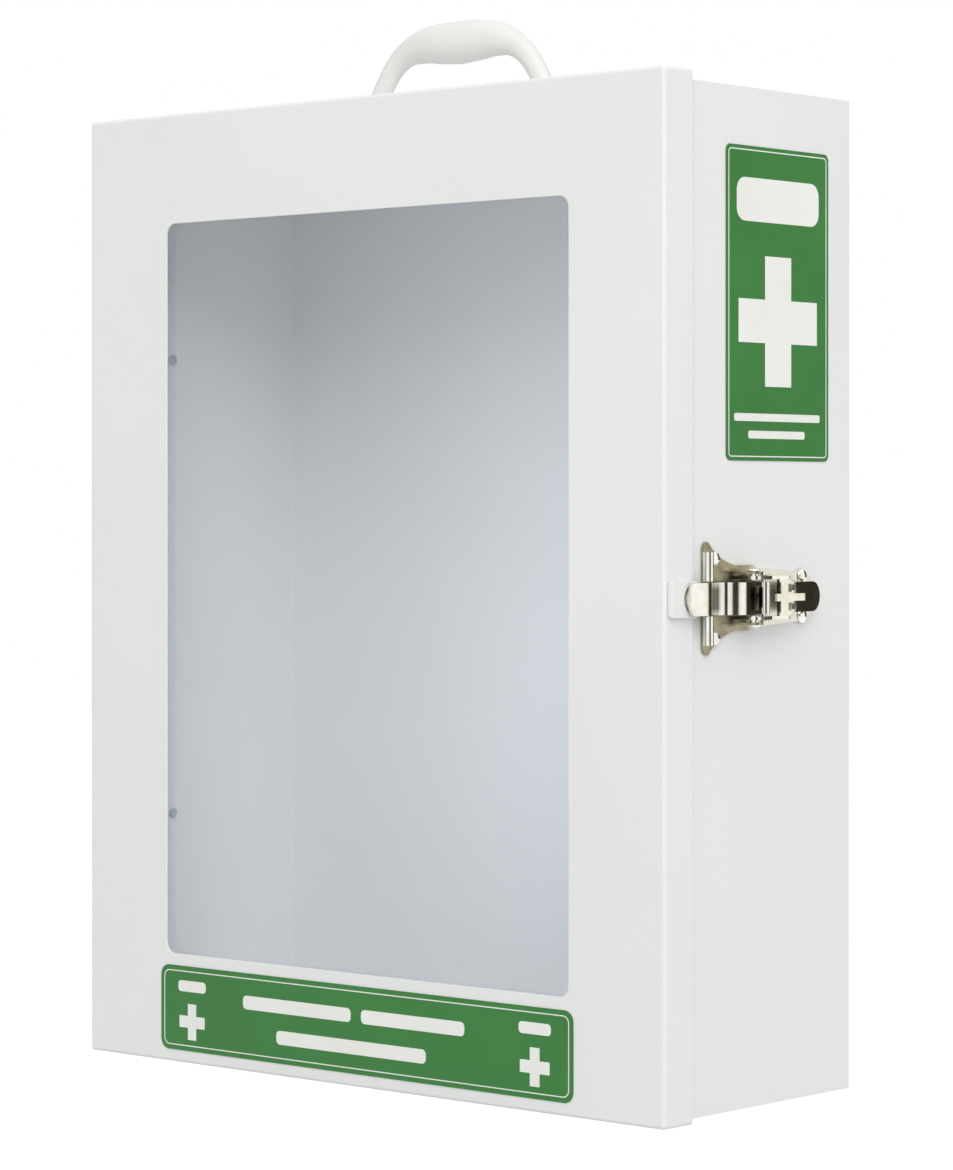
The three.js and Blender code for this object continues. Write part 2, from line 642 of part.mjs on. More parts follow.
function handleBracket(side) {
  const zs = [topZ + rest, topZ + rest + sheet];
  const span = (from, to) => [side * from, side * to].sort((a, b) => a - b);
  const quarter = Math.PI / 2;
  const [near, far] = [handle.y - lug.half, handle.y + lug.half];
  const footShape = roundedRect(...span(lug.x, lug.x + lug.foot), near, far, 0.5);
  const upright = new THREE.Shape()
    .moveTo(near, zs[0]).lineTo(far, zs[0])
    .absarc(handle.y, pivotZ, lug.radius, 0, 2 * quarter);
  return extrude('xy', footShape, ...zs)
    .add(extrude('yz', upright, ...span(lug.x, lug.x + sheet)))
    .subtract(rod('yz', handle.y, pivotZ, lug.hole, ...span(lug.x - 1, lug.x + sheet + 1)))
    .subtract(bracketRivetHoles(side, zs[0] - 1, zs[1] + 1));
}

const bracketRivetX = lug.x + 11;
const bracketRivetY = 4.2;

function bracketRivetHoles(side, low, high) {
  return rod('xy', side * bracketRivetX, handle.y - bracketRivetY, rivetHole, low, high, 4)
    .add(rod('xy', side * bracketRivetX, handle.y + bracketRivetY, rivetHole, low, high, 4));
}

// The handle is a bow with splayed legs, a fuller grip along its top and a stub axle at each foot.
function carryHandle() {
  const { footX, shoulderX, shoulderLift, topLift, legWidth, legDepth, y } = handle;
  const half = [
    [footX, 0], [(footX + shoulderX) / 2 + 1, shoulderLift / 2], [shoulderX, shoulderLift],
    [shoulderX * 0.68, topLift - 1.5],
  ].map(([x, lift]) => [x, pivotZ + lift]);
  const line = [...half, [0, pivotZ + topLift], ...half.map(([x, z]) => [-x, z]).reverse()];
  let solid = extrude('xz', ribbon(line, legWidth, 28), y - legDepth / 2, y + legDepth / 2);
  solid = solid.add(handleGrip());
  for (const side of [1, -1]) {
    const [low, high] = [side * (footX - 4), side * (footX + 2.6)].sort((a, b) => a - b);
    solid = solid.add(rod('yz', y, pivotZ, legDepth / 2 - 0.4, low, high));
    const stub = [side * footX, side * (lug.x + sheet + 2)].sort((a, b) => a - b);
    solid = solid.add(rod('yz', y, pivotZ, lug.hole - clearance, ...stub));
  }
  return solid;
}

// A turned lens along X with blunt ends, centred on the bow's top.
function handleGrip() {
  const { gripHalf, gripRadius, gripEnd, gripLift, y } = handle;
  const profile = [[0, -gripHalf]];
  for (let i = 0; i <= 10; i += 1) {
    const t = (2 * i) / 10 - 1;
    profile.push([gripEnd + (gripRadius - gripEnd) * (1 - t * t), t * gripHalf]);
  }
  profile.push([0, gripHalf]);
  const geometry = turned(profile, 16);
  geometry.rotateZ(-Math.PI / 2);
  geometry.translate(0, y, pivotZ + gripLift);
  return toSolid(geometry);
}

function addHandle(cabinetGroup, handleGroup) {
  for (const [side, name] of [[-1, 'left'], [1, 'right']]) {
    part(cabinetGroup, `handle_bracket_${name}`, handleBracket(side), whitePaint);
    [-1, 1].forEach((s, i) => addRivet(
      cabinetGroup, `handle_rivet_${name}_${i + 1}`, '+Z', topZ - sheet, topZ + rest + sheet,
      side * bracketRivetX, handle.y + s * bracketRivetY, zincPlate));
  }
  part(handleGroup, 'carry_handle', carryHandle(), handlePlastic);
}

// ---- assembly ----
const group = new THREE.Group();
const cabinet = new THREE.Group();
const doorGroup = new THREE.Group();
const handleGroup = new THREE.Group();
group.add(cabinet, doorGroup, handleGroup);

part(cabinet, 'cabinet_shell', cabinetShell(), whitePaint);
const topTray = [-1, 1].reduce(
  (solid, side) => solid.subtract(bracketRivetHoles(side, topZ - 3, topZ + 1)), tray(1));
part(cabinet, 'top_panel', topTray, whitePaint);
part(cabinet, 'bottom_panel', tray(-1), whitePaint);
addFeet(cabinet);
part(doorGroup, 'door_panel', doorPanel(), whitePaint);
addGlazing(doorGroup);
addLabels(doorGroup, cabinet);
addHinge(1, 'upper', cabinet, doorGroup);
addHinge(-1, 'lower', cabinet, doorGroup);
addLatch(cabinet, doorGroup);
addHandle(cabinet, handleGroup);

export default group;
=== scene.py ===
# A wall cabinet for a defibrillator: powder-coated steel, a glazed door, a draw latch, a handle
# and two green labels. Metres throughout, mm turns millimetres into them.
import math

import bmesh
import bpy
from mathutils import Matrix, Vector


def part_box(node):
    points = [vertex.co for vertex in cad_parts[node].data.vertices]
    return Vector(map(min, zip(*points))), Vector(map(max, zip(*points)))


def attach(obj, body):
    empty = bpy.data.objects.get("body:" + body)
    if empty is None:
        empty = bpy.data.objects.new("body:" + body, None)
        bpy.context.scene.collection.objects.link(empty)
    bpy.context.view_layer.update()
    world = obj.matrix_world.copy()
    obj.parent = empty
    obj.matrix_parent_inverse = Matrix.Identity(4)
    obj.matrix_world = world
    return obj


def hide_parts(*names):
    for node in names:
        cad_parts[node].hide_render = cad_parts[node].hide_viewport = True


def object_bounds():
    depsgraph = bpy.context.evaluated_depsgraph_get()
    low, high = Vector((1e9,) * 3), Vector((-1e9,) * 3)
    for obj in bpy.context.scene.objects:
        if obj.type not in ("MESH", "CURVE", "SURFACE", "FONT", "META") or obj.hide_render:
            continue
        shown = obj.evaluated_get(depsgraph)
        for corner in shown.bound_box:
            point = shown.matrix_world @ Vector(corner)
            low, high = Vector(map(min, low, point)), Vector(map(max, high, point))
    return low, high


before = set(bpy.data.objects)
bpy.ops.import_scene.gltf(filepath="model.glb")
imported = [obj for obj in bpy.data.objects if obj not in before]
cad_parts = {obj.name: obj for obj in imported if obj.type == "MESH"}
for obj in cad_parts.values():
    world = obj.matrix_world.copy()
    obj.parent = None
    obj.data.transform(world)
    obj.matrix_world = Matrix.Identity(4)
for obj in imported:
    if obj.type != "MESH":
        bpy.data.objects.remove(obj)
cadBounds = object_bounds()
mm = 0.001


def only(obj):
    if bpy.context.object and bpy.context.object.mode != "OBJECT":
        bpy.ops.object.mode_set(mode="OBJECT")
    bpy.ops.object.select_all(action="DESELECT")
    obj.select_set(True)
    bpy.context.view_layer.objects.active = obj


def settle(obj):
    only(obj)
    bpy.ops.object.transform_apply(location=True, rotation=True, scale=True)


def cube(low, high, name="block"):
    bpy.ops.object.select_all(action="DESELECT")
    low, high = Vector(low), Vector(high)
    bpy.ops.mesh.primitive_cube_add(size=1, location=(low + high) / 2, scale=high - low)
    obj = bpy.context.object
    obj.name = name
    settle(obj)
    return obj


def cylinder(centre, radius, length, axis="Z", vertices=48, name="rod"):
    turn = {"X": (0, math.pi / 2, 0), "Y": (math.pi / 2, 0, 0), "Z": (0, 0, 0)}[axis]
    bpy.ops.object.select_all(action="DESELECT")
    bpy.ops.mesh.primitive_cylinder_add(
        vertices=vertices, radius=radius, depth=length, location=centre, rotation=turn
    )
    obj = bpy.context.object
    obj.name = name
    settle(obj)
    return obj


# Selects the faces or edges whose middle and normal (or direction) pass the test.
def pick(obj, mode, test):
    if obj.mode != "EDIT":
        only(obj)
        bpy.ops.object.mode_set(mode="EDIT")
    bpy.ops.mesh.select_mode(type=mode)
    bpy.ops.mesh.select_all(action="DESELECT")
    mesh = bmesh.from_edit_mesh(obj.data)
    if mode == "FACE":
        for face in mesh.faces:
            face.select_set(test(face.calc_center_median(), face.normal))
    else:
        for edge in mesh.edges:
            a, b = (v.co for v in edge.verts)
            edge.select_set(test((a + b) / 2, (b - a).normalized()))
    bmesh.update_edit_mesh(obj.data)


def near(a, b, within=0.05 * mm):
    return abs(a - b) < within


def objectMode():
    bpy.ops.object.mode_set(mode="OBJECT")


def apply(obj, kind, **settings):
    only(obj)
    modifier = obj.modifiers.new(kind.lower(), kind)
    for key, value in settings.items():
        setattr(modifier, key, value)
    bpy.ops.object.modifier_apply(modifier=modifier.name)


def softenEdges(obj, width, segments=2, angle=35):
    apply(
        obj, "BEVEL", width=width, segments=segments, limit_method="ANGLE",
        angle_limit=math.radians(angle), use_clamp_overlap=True, harden_normals=False,
    )


def cut(obj, *cutters):
    for cutter in cutters:
        apply(obj, "BOOLEAN", object=cutter, operation="DIFFERENCE", solver="EXACT")
        bpy.data.objects.remove(cutter)


def joinTo(obj, *others):
    only(obj)
    for other in others:
        other.select_set(True)
    bpy.ops.object.join()


# Smooth round the bends, with the large faces kept truly flat.
def smooth(obj, angle=35):
    only(obj)
    bpy.ops.object.shade_smooth_by_angle(angle=math.radians(angle))
    apply(obj, "WEIGHTED_NORMAL", mode="FACE_AREA", weight=100, keep_sharp=True)


def copyOf(obj, name):
    copy = obj.copy()
    copy.data = obj.data.copy()
    copy.name = name
    bpy.context.collection.objects.link(copy)
    return copy


# Names a finished piece, smooths it, paints it and hangs it on its body.
def finished(obj, name, body, material, nodes=(), angle=35):
    settle(obj)
    smooth(obj, angle)
    obj.name = name
    obj.data.name = name
    obj.data.materials.clear()
    obj.data.materials.append(material)
    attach(obj, body)
    if nodes:
        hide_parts(*nodes)
    return obj


# An sRGB hex value as linear red, green, blue and alpha.
def colour(code):
    parts = [int(code[i : i + 2], 16) / 255 for i in (1, 3, 5)]
    return [p / 12.92 if p <= 0.04045 else ((p + 0.055) / 1.055) ** 2.4 for p in parts] + [1]


# settings are the node's properties or sockets, links are socket: (node, output)
def add(tree, kind, settings=None, links=None):
    node = tree.nodes.new(kind)
    for key, value in (settings or {}).items():
        if isinstance(key, int) or key in node.inputs.keys():
            node.inputs[key].default_value = value
        else:
            setattr(node, key, value)
    for key, (source, output) in (links or {}).items():
        tree.links.new(source.outputs[output], node.inputs[key])
    return node


def newMaterial(name):
    material = bpy.data.materials.new(name)
    material.use_nodes = True
    tree = material.node_tree
    tree.nodes.clear()
    out = add(tree, "ShaderNodeOutputMaterial")
    place = add(tree, "ShaderNodeTexCoord")
    return material, tree, out, place


def ramp(tree, source, output, stops):
    node = add(tree, "ShaderNodeValToRGB", links={"Fac": (source, output)})
    elements = node.color_ramp.elements
    while len(elements) < len(stops):
        elements.new(0.5)
    for element, (position, code) in zip(elements, stops):
        element.position = position
        element.color = colour(code)
    return node


def powderCoat(name, pale, deep):
    # Polyester powder coat: an even white film with a fine orange-peel ripple, about 1.5 mm
    # from crest to crest, that breaks up its soft sheen.
    material, tree, out, place = newMaterial(name)
    shader = add(tree, "ShaderNodeBsdfPrincipled", {
        "IOR": 1.5, "Coat Weight": 0.15, "Coat Roughness": 0.25,
    })
    cloud = add(tree, "ShaderNodeTexNoise", {"Scale": 9, "Detail": 3}, {"Vector": (place, "Object")})
    tint = ramp(tree, cloud, "Fac", [(0.3, deep), (0.7, pale)])
    peel = add(tree, "ShaderNodeTexNoise", {"Scale": 650, "Detail": 2}, {"Vector": (place, "Object")})
    gloss = add(tree, "ShaderNodeMapRange", {"To Min": 0.36, "To Max": 0.5}, {"Value": (peel, "Fac")})
    bump = add(tree, "ShaderNodeBump", {"Strength": 0.12, "Distance": 0.1 * mm}, {"Height": (peel, "Fac")})
    tree.links.new(tint.outputs["Color"], shader.inputs["Base Color"])
    tree.links.new(gloss.outputs["Result"], shader.inputs["Roughness"])
    tree.links.new(bump.outputs["Normal"], shader.inputs["Normal"])
    tree.links.new(shader.outputs["BSDF"], out.inputs["Surface"])
    return material


# The colour changed to another from one Y to a further one.
def paintedLightAlong(tree, place, tint, code, fromY, toY):
    split = add(tree, "ShaderNodeSeparateXYZ", links={"Vector": (place, "Object")})
    along = add(tree, "ShaderNodeMapRange", {"From Min": fromY, "From Max": toY}, {"Value": (split, "Y")})
    return add(tree, "ShaderNodeMix", {"data_type": "RGBA", 7: colour(code)}, {
        0: (along, "Result"), 6: (tint, "Color"),
    })


# 1 inside a box of Y and Z half sizes round a middle, 0 outside, soft over half of the size.
def within(tree, place, middle, half):
    split = add(tree, "ShaderNodeSeparateXYZ", links={"Vector": (place, "Object")})
    sides = []
    for axis in "YZ":
        index = "XYZ".index(axis)
        shift = add(tree, "ShaderNodeMath", {"operation": "SUBTRACT", 1: middle[index]}, {0: (split, axis)})
        off = add(tree, "ShaderNodeMath", {"operation": "ABSOLUTE"}, {0: (shift, "Value")})
        sides.append(add(tree, "ShaderNodeMapRange", {
            "From Min": half[index], "From Max": half[index] / 2,
        }, {"Value": (off, "Value")}))
    return add(tree, "ShaderNodeMath", {"operation": "MULTIPLY"}, {
        0: (sides[0], "Result"), 1: (sides[1], "Result"),
    })


def platedMetal(name, pale, deep, rough, grain, paintedLight=None, patches=()):
    # Bright plate on pressed steel: a mirror with faint drawing lines and a little clouding.
    # The optional second colour, with the Y where it starts and is full, paints the plate paler from there
    # on as a painted reflection. Each patch is a middle, a half size and a colour painted over the plate:
    # the latch uses them for a painted shade on its base and a painted reflection on its claw.
    material, tree, out, place = newMaterial(name)
    shader = add(tree, "ShaderNodeBsdfPrincipled", {"Metallic": 1})
    cloud = add(tree, "ShaderNodeTexNoise", {"Scale": 160, "Detail": 4}, {"Vector": (place, "Object")})
    tint = ramp(tree, cloud, "Fac", [(0.35, deep), (0.65, pale)])
    output = "Color"
    if paintedLight:
        tint, output = paintedLightAlong(tree, place, tint, *paintedLight), 2
    for middle, half, code in patches:
        patch = within(tree, place, middle, half)
        tint, output = add(tree, "ShaderNodeMix", {"data_type": "RGBA", 7: colour(code)}, {
            0: (patch, "Value"), 6: (tint, output),
        }), 2
    tree.links.new(tint.outputs[output], shader.inputs["Base Color"])
    stretch = add(tree, "ShaderNodeMapping", {"Scale": (1, 1, grain)}, {"Vector": (place, "Object")})
    lines = add(tree, "ShaderNodeTexNoise", {"Scale": 500, "Detail": 2}, {"Vector": (stretch, "Vector")})
    gloss = add(tree, "ShaderNodeMapRange", {
        "To Min": rough * 0.75, "To Max": rough * 1.3,
    }, {"Value": (cloud, "Fac")})
    bump = add(tree, "ShaderNodeBump", {"Strength": 0.08, "Distance": 0.05 * mm}, {"Height": (lines, "Fac")})
    tree.links.new(gloss.outputs["Result"], shader.inputs["Roughness"])
    tree.links.new(bump.outputs["Normal"], shader.inputs["Normal"])
    tree.links.new(shader.outputs["BSDF"], out.inputs["Surface"])
    return material


def mouldedPlastic(name, pale, deep, rough, grit):
    # Injection-moulded plastic: an even colour with the fine spark texture of the mould.
    material, tree, out, place = newMaterial(name)
    shader = add(tree, "ShaderNodeBsdfPrincipled", {"IOR": 1.5})
    cloud = add(tree, "ShaderNodeTexNoise", {"Scale": 30, "Detail": 2}, {"Vector": (place, "Object")})
    tint = ramp(tree, cloud, "Fac", [(0.3, deep), (0.7, pale)])
    spark = add(tree, "ShaderNodeTexNoise", {"Scale": grit, "Detail": 2}, {"Vector": (place, "Object")})
    gloss = add(tree, "ShaderNodeMapRange", {
        "To Min": rough - 0.06, "To Max": rough + 0.06,
    }, {"Value": (spark, "Fac")})
    bump = add(tree, "ShaderNodeBump", {"Strength": 0.1, "Distance": 0.1 * mm}, {"Height": (spark, "Fac")})
    tree.links.new(tint.outputs["Color"], shader.inputs["Base Color"])
    tree.links.new(gloss.outputs["Result"], shader.inputs["Roughness"])
    tree.links.new(bump.outputs["Normal"], shader.inputs["Normal"])
    tree.links.new(shader.outputs["BSDF"], out.inputs["Surface"])
    return material


def clearAcrylic():
    # Clear cast acrylic sheet: light goes straight through, each face mirrors 4% head on and
    # more at a glancing angle, and the sheet has the faintest cool tint.
    material, tree, out, place = newMaterial("clear cast acrylic")
    haze = add(tree, "ShaderNodeTexNoise", {"Scale": 5, "Detail": 2}, {"Vector": (place, "Object")})
    gloss = add(tree, "ShaderNodeMapRange", {"To Min": 0.03, "To Max": 0.07}, {"Value": (haze, "Fac")})
    through = add(tree, "ShaderNodeBsdfTransparent", {"Color": (0.972, 0.984, 1, 1)})
    mirror = add(tree, "ShaderNodeBsdfGlossy", {"Color": (1, 1, 1, 1)}, {"Roughness": (gloss, "Result")})
    facing = add(tree, "ShaderNodeLayerWeight", {"Blend": 0.5})
    steep = add(tree, "ShaderNodeMath", {"operation": "POWER", 1: 5}, {0: (facing, "Facing")})
    share = add(tree, "ShaderNodeMapRange", {"To Min": 0.04, "To Max": 1}, {"Value": (steep, "Value")})
    mix = add(tree, "ShaderNodeMixShader", links={"Fac": (share, "Result")})
    tree.links.new(through.outputs["BSDF"], mix.inputs[1])
    tree.links.new(mirror.outputs["BSDF"], mix.inputs[2])
    tree.links.new(mix.outputs["Shader"], out.inputs["Surface"])
    return material


whitePaint = powderCoat("white polyester powder coat", "#eceeee", "#e9ebeb")
nickel = platedMetal("bright nickel plate", "#f1efe9", "#e4e1d8", 0.1, 0.1)
pivotY = sum(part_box("latch_pivot_upper"), Vector()).y / 2
# The latch base's nickel: paler from just behind the pivot to the rear as a painted reflection, and a
# near-black patch round the pivot, where the lever and claw cover the plate, as painted shade.
dullNickel = platedMetal(
    "dull nickel plate", "#a8a38c", "#8d876f", 0.24, 0.1,
    ("#e6e4dc", pivotY + 3 * mm, pivotY + 13 * mm),
    [((0, pivotY, 0), (0, 17 * mm, 11 * mm), "#2b271f")],
)
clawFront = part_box("latch_claw")[0].y
# The claw's nickel with a soft-edged dark patch, about 12 by 16 mm, 17.6 mm behind its front: a painted dark
# reflection in its valley.
clawNickelPaintedReflection = platedMetal(
    "handled nickel plate", "#f1efe9", "#e4e1d8", 0.1, 0.1, None,
    [((0, clawFront + 17.6 * mm, 0), (0, 6 * mm, 8 * mm), "#4b4740")],
)
zinc = platedMetal("bright zinc plate", "#c3c6ca", "#babdc1", 0.3, 0.1)
handlePlastic = mouldedPlastic("moulded polypropylene", "#ecece9", "#e7e7e3", 0.42, 900)
rubber = mouldedPlastic("moulded rubber", "#2b2d2f", "#232527", 0.75, 700)
greenVinyl = mouldedPlastic("printed green vinyl", "#2a7a2e", "#257329", 0.42, 300)
whiteInk = mouldedPlastic("white screen ink", "#f2f4f1", "#eceee9", 0.4, 400)
acrylic = clearAcrylic()
print("materials made")

camera = {
    "place": (1.162, -1.369, 0.039), "lens": 114.8, "sensor": 36, "shiftY": -0.066,
    "bearing": math.atan2(0.6626, 0.7490),
}


def makeCamera():
    data = bpy.data.cameras.new("camera")
    data.lens = camera["lens"]
    data.sensor_width = camera["sensor"]
    data.shift_y = camera["shiftY"]
    obj = bpy.data.objects.new("camera", data)
    bpy.context.collection.objects.link(obj)
    obj.location = camera["place"]
    obj.rotation_euler = (math.pi / 2, 0, camera["bearing"])
    bpy.context.scene.camera = obj


studio = {
    "sky": "#fcfdff", "skyPower": 0.7, "floorSize": 5, "floorGrey": "#dadad8",
    "keyPlace": (2.5, -2.3, 2.35), "keySize": 3, "keyPower": 83, "keyColour": "#fffbf5",
    "insideX": 0.05, "insideZ": -0.02, "insideSize": (0.14, 0.3), "insidePower": 0.085,
    # what shiny metal mirrors, by bearing from -180 to 180 degrees with +X at 0, and the heights
    # between which the panels give way to a white ceiling
    "panelPower": 1.15, "ceilingFrom": (0.3, 0.55),
    "panels": [
        (-180, "#8f8f8c"), (-150, "#f5f5f3"), (-36, "#f5f5f3"), (-29, "#24211c"), (-5, "#2e2b25"),
        (3, "#e4e2da"), (26, "#fbfbf9"), (48, "#faf8f2"), (57, "#f1ecdc"), (64, "#2b2822"),
        (122, "#38342c"), (150, "#9a9a96"),
    ],
    "floorDeep": "#dcdcda", "floorGlow": 1.1,
}


def makeFloor():
    material, tree, out, place = newMaterial("pale studio floor")
    cloud = add(tree, "ShaderNodeTexNoise", {"Scale": 3}, {"Vector": (place, "Object")})
    tint = ramp(tree, cloud, "Fac", [(0.3, studio["floorGrey"]), (0.7, studio["floorDeep"])])
    matt = add(tree, "ShaderNodeBsdfDiffuse", links={"Color": (tint, "Color")})
    glow = add(tree, "ShaderNodeEmission", {"Strength": studio["floorGlow"]})
    ray = add(tree, "ShaderNodeLightPath")
    direct = add(tree, "ShaderNodeMath", {"operation": "MAXIMUM"}, {
        0: (ray, "Is Camera Ray"), 1: (ray, "Is Glossy Ray"),
    })
    mix = add(tree, "ShaderNodeMixShader", links={"Fac": (direct, "Value")})
    tree.links.new(matt.outputs["BSDF"], mix.inputs[1])
    tree.links.new(glow.outputs["Emission"], mix.inputs[2])
    tree.links.new(mix.outputs["Shader"], out.inputs["Surface"])
    bpy.ops.object.select_all(action="DESELECT")
    bpy.ops.mesh.primitive_plane_add(size=studio["floorSize"], location=(0, 0, cadBounds[0].z - 0.2 * mm))
    floor = bpy.context.object
    floor.name = "floor"
    floor.data.materials.append(material)


def makeWorld():
    world = bpy.data.worlds.new("studio")
    bpy.context.scene.world = world
    world.use_nodes = True
    tree = world.node_tree
    tree.nodes.clear()
    out = add(tree, "ShaderNodeOutputWorld")
    backdrop = add(tree, "ShaderNodeBackground", {"Color": (1, 1, 1, 1), "Strength": 1})
    sky = add(tree, "ShaderNodeBackground", {
        "Color": colour(studio["sky"]), "Strength": studio["skyPower"],
    })
    where = add(tree, "ShaderNodeTexCoord")
    split = add(tree, "ShaderNodeSeparateXYZ", links={"Vector": (where, "Generated")})
    bearing = add(tree, "ShaderNodeMath", {"operation": "ARCTAN2"}, {0: (split, "Y"), 1: (split, "X")})
    turn = add(tree, "ShaderNodeMapRange", {
        "From Min": -math.pi, "From Max": math.pi,
    }, {"Value": (bearing, "Value")})
    stops = [((degrees + 180) / 360, code) for degrees, code in studio["panels"]]
    panels = ramp(tree, turn, "Result", stops + [(1, stops[0][1])])
    low, high = studio["ceilingFrom"]
    height = add(tree, "ShaderNodeMapRange", {"From Min": low, "From Max": high}, {"Value": (split, "Z")})
    ceiling = add(tree, "ShaderNodeMix", {"data_type": "RGBA"}, {"Factor": (height, "Result")})
    tree.links.new(panels.outputs["Color"], ceiling.inputs[6])
    ceiling.inputs[7].default_value = (1, 1, 1, 1)
    mirrored = add(tree, "ShaderNodeBackground", {
        "Strength": studio["panelPower"],
    }, {"Color": (ceiling, 2)})
    ray = add(tree, "ShaderNodeLightPath")
    shiny = add(tree, "ShaderNodeMixShader", links={"Fac": (ray, "Is Glossy Ray")})
    seen = add(tree, "ShaderNodeMixShader", links={"Fac": (ray, "Is Camera Ray")})
    tree.links.new(sky.outputs["Background"], shiny.inputs[1])
    tree.links.new(mirrored.outputs["Background"], shiny.inputs[2])
    tree.links.new(shiny.outputs["Shader"], seen.inputs[1])
    tree.links.new(backdrop.outputs["Background"], seen.inputs[2])
    tree.links.new(seen.outputs["Shader"], out.inputs["Surface"])


def areaLight(name, place, aim, size, power, code):
    data = bpy.data.lights.new(name, "AREA")
    data.shape = "RECTANGLE"
    data.size, data.size_y = size
    data.energy = power
    data.color = colour(code)[:3]
    obj = bpy.data.objects.new(name, data)
    bpy.context.collection.objects.link(obj)
    obj.location = place
    obj.rotation_euler = (Vector(aim) - Vector(place)).to_track_quat("-Z", "Y").to_euler()
    return obj


# A large softbox, and a panel of light in the window that brightens the back of the cabinet.
def makeLights():
    size = studio["keySize"]
    areaLight("key", studio["keyPlace"], (0, 0, 0), (size, size), studio["keyPower"], studio["keyColour"])
    x, z, y = studio["insideX"], studio["insideZ"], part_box("door_panel")[0].y + 0.6 * mm
    size, power = studio["insideSize"], studio["insidePower"]
    inside = areaLight("inside", (x, y, z), (x, 0, z), size, power, "#ffffff")
    inside.visible_camera = False
    inside.visible_glossy = False


makeCamera()
makeFloor()
makeWorld()
makeLights()
bpy.context.scene.view_settings.view_transform = "Standard"
print("camera, floor and light made")

shell = {"sheet": 1.2 * mm, "bend": 1.8 * mm, "lip": 12 * mm, "edge": 0.25 * mm}
# the holes in the back: how far to each side, and each kind's height and size
wallHoles = {
    "across": 130 * mm, "keyholeZ": 203 * mm, "head": 5 * mm, "slot": 2.75 * mm, "drop": 9 * mm,
    "screwZ": -203 * mm, "screw": 4 * mm, "reach": 5 * mm,
}


# Keyhole cutters: a round hole for a screw's head below a narrower slot.
def keyholeCutter(x, z):
    slotHalf, reach = wallHoles["slot"], wallHoles["reach"]
    tall = wallHoles["drop"]
    head = cylinder((x, 0, z - tall), wallHoles["head"], 2 * reach, "Y")
    neck = cylinder((x, 0, z), slotHalf, 2 * reach, "Y")
    slot = cube((x - slotHalf, -reach, z - tall), (x + slotHalf, reach, z))
    return head, neck, slot


def makeShell():
    low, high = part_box("cabinet_shell")
    obj = cube(low, high)
    pick(obj, "FACE", lambda c, n: n.y < -0.9 or abs(n.z) > 0.9)
    bpy.ops.mesh.delete(type="FACE")
    for side, x in ((1, low.x), (-1, high.x)):
        pick(obj, "EDGE", lambda c, d: abs(d.z) > 0.9 and near(c.y, low.y) and near(c.x, x))
        bpy.ops.mesh.extrude_edges_move(
            TRANSFORM_OT_translate={"value": (side * shell["lip"], 0, 0)}
        )
    pick(obj, "EDGE", lambda c, d: abs(d.z) > 0.9 and (near(c.x, low.x) or near(c.x, high.x)))
    bpy.ops.mesh.bevel(offset=shell["bend"], segments=5, affect="EDGES")
    bpy.ops.mesh.select_all(action="SELECT")
    bpy.ops.mesh.normals_make_consistent(inside=False)
    objectMode()
    apply(obj, "SOLIDIFY", thickness=shell["sheet"], offset=-1)
    for side in (-1, 1):
        x = side * wallHoles["across"]
        cut(obj, *keyholeCutter(x, wallHoles["keyholeZ"]))
        cut(obj, cylinder((x, 0, wallHoles["screwZ"]), wallHoles["screw"], 2 * wallHoles["reach"], "Y"))
    softenEdges(obj, shell["edge"], 2, 60)
    finished(obj, "cabinetShell", "cabinet", whitePaint, ["cabinet_shell"])


makeShell()
print("shell made")

door = {
    "sheet": 1.2 * mm, "bend": 1.7 * mm, "corner": 5.5 * mm, "edge": 0.3 * mm,
    "studRadius": 2 * mm, "studLength": 7.4 * mm, "studBehind": 3.3 * mm,
}
window = {"halfWidth": 125 * mm, "low": -172.5 * mm, "high": 174 * mm}


# A block whose four edges along one axis are rounded.
def roundedBlock(low, high, radius, along, segments=8):
    obj = cube(low, high)
    axis = "XYZ".index(along)
    pick(obj, "EDGE", lambda c, d: abs(d[axis]) > 0.9)
    bpy.ops.mesh.bevel(offset=radius, segments=segments, affect="EDGES")
    objectMode()
    return obj


def makeDoor():
    low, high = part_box("door_panel")
    obj = cube(low, high)
    pick(obj, "FACE", lambda c, n: n.y > 0.9)
    bpy.ops.mesh.delete(type="FACE")
    pick(obj, "EDGE", lambda c, d: abs(d.y) > 0.9 or near(c.y, low.y))
    bpy.ops.mesh.bevel(offset=door["bend"], segments=5, affect="EDGES")
    objectMode()
    apply(obj, "SOLIDIFY", thickness=door["sheet"], offset=-1)
    cutter = roundedBlock(
        (-window["halfWidth"], low.y - 5 * mm, window["low"]),
        (window["halfWidth"], low.y + 5 * mm, window["high"]), door["corner"], "Y",
    )
    cut(obj, cutter)
    softenEdges(obj, door["edge"], 2, 60)
    studs = []
    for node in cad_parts:
        if node.startswith("pane_nut_"):
            a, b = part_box(node)
            centre = (a + b) / 2
            centre.y = low.y + door["sheet"] + door["studBehind"]
            stud = cylinder(centre, door["studRadius"], door["studLength"], "Y", 24)
            softenEdges(stud, door["edge"], 2, 60)
            studs.append(stud)
    joinTo(obj, *studs)
    finished(obj, "doorPanel", "door", whitePaint, ["door_panel"])


def makePane():
    pane = {"corner": 3 * mm, "edge": 0.2 * mm}
    low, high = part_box("window_pane")
    obj = roundedBlock(low, high, pane["corner"], "Y", 4)
    softenEdges(obj, pane["edge"], 2, 60)
    finished(obj, "windowPane", "door", acrylic, ["window_pane"])


makeDoor()
makePane()
print("door made")

label = {"edge": 0.08 * mm, "ink": 0.05 * mm, "keyline": 0.5 * mm}
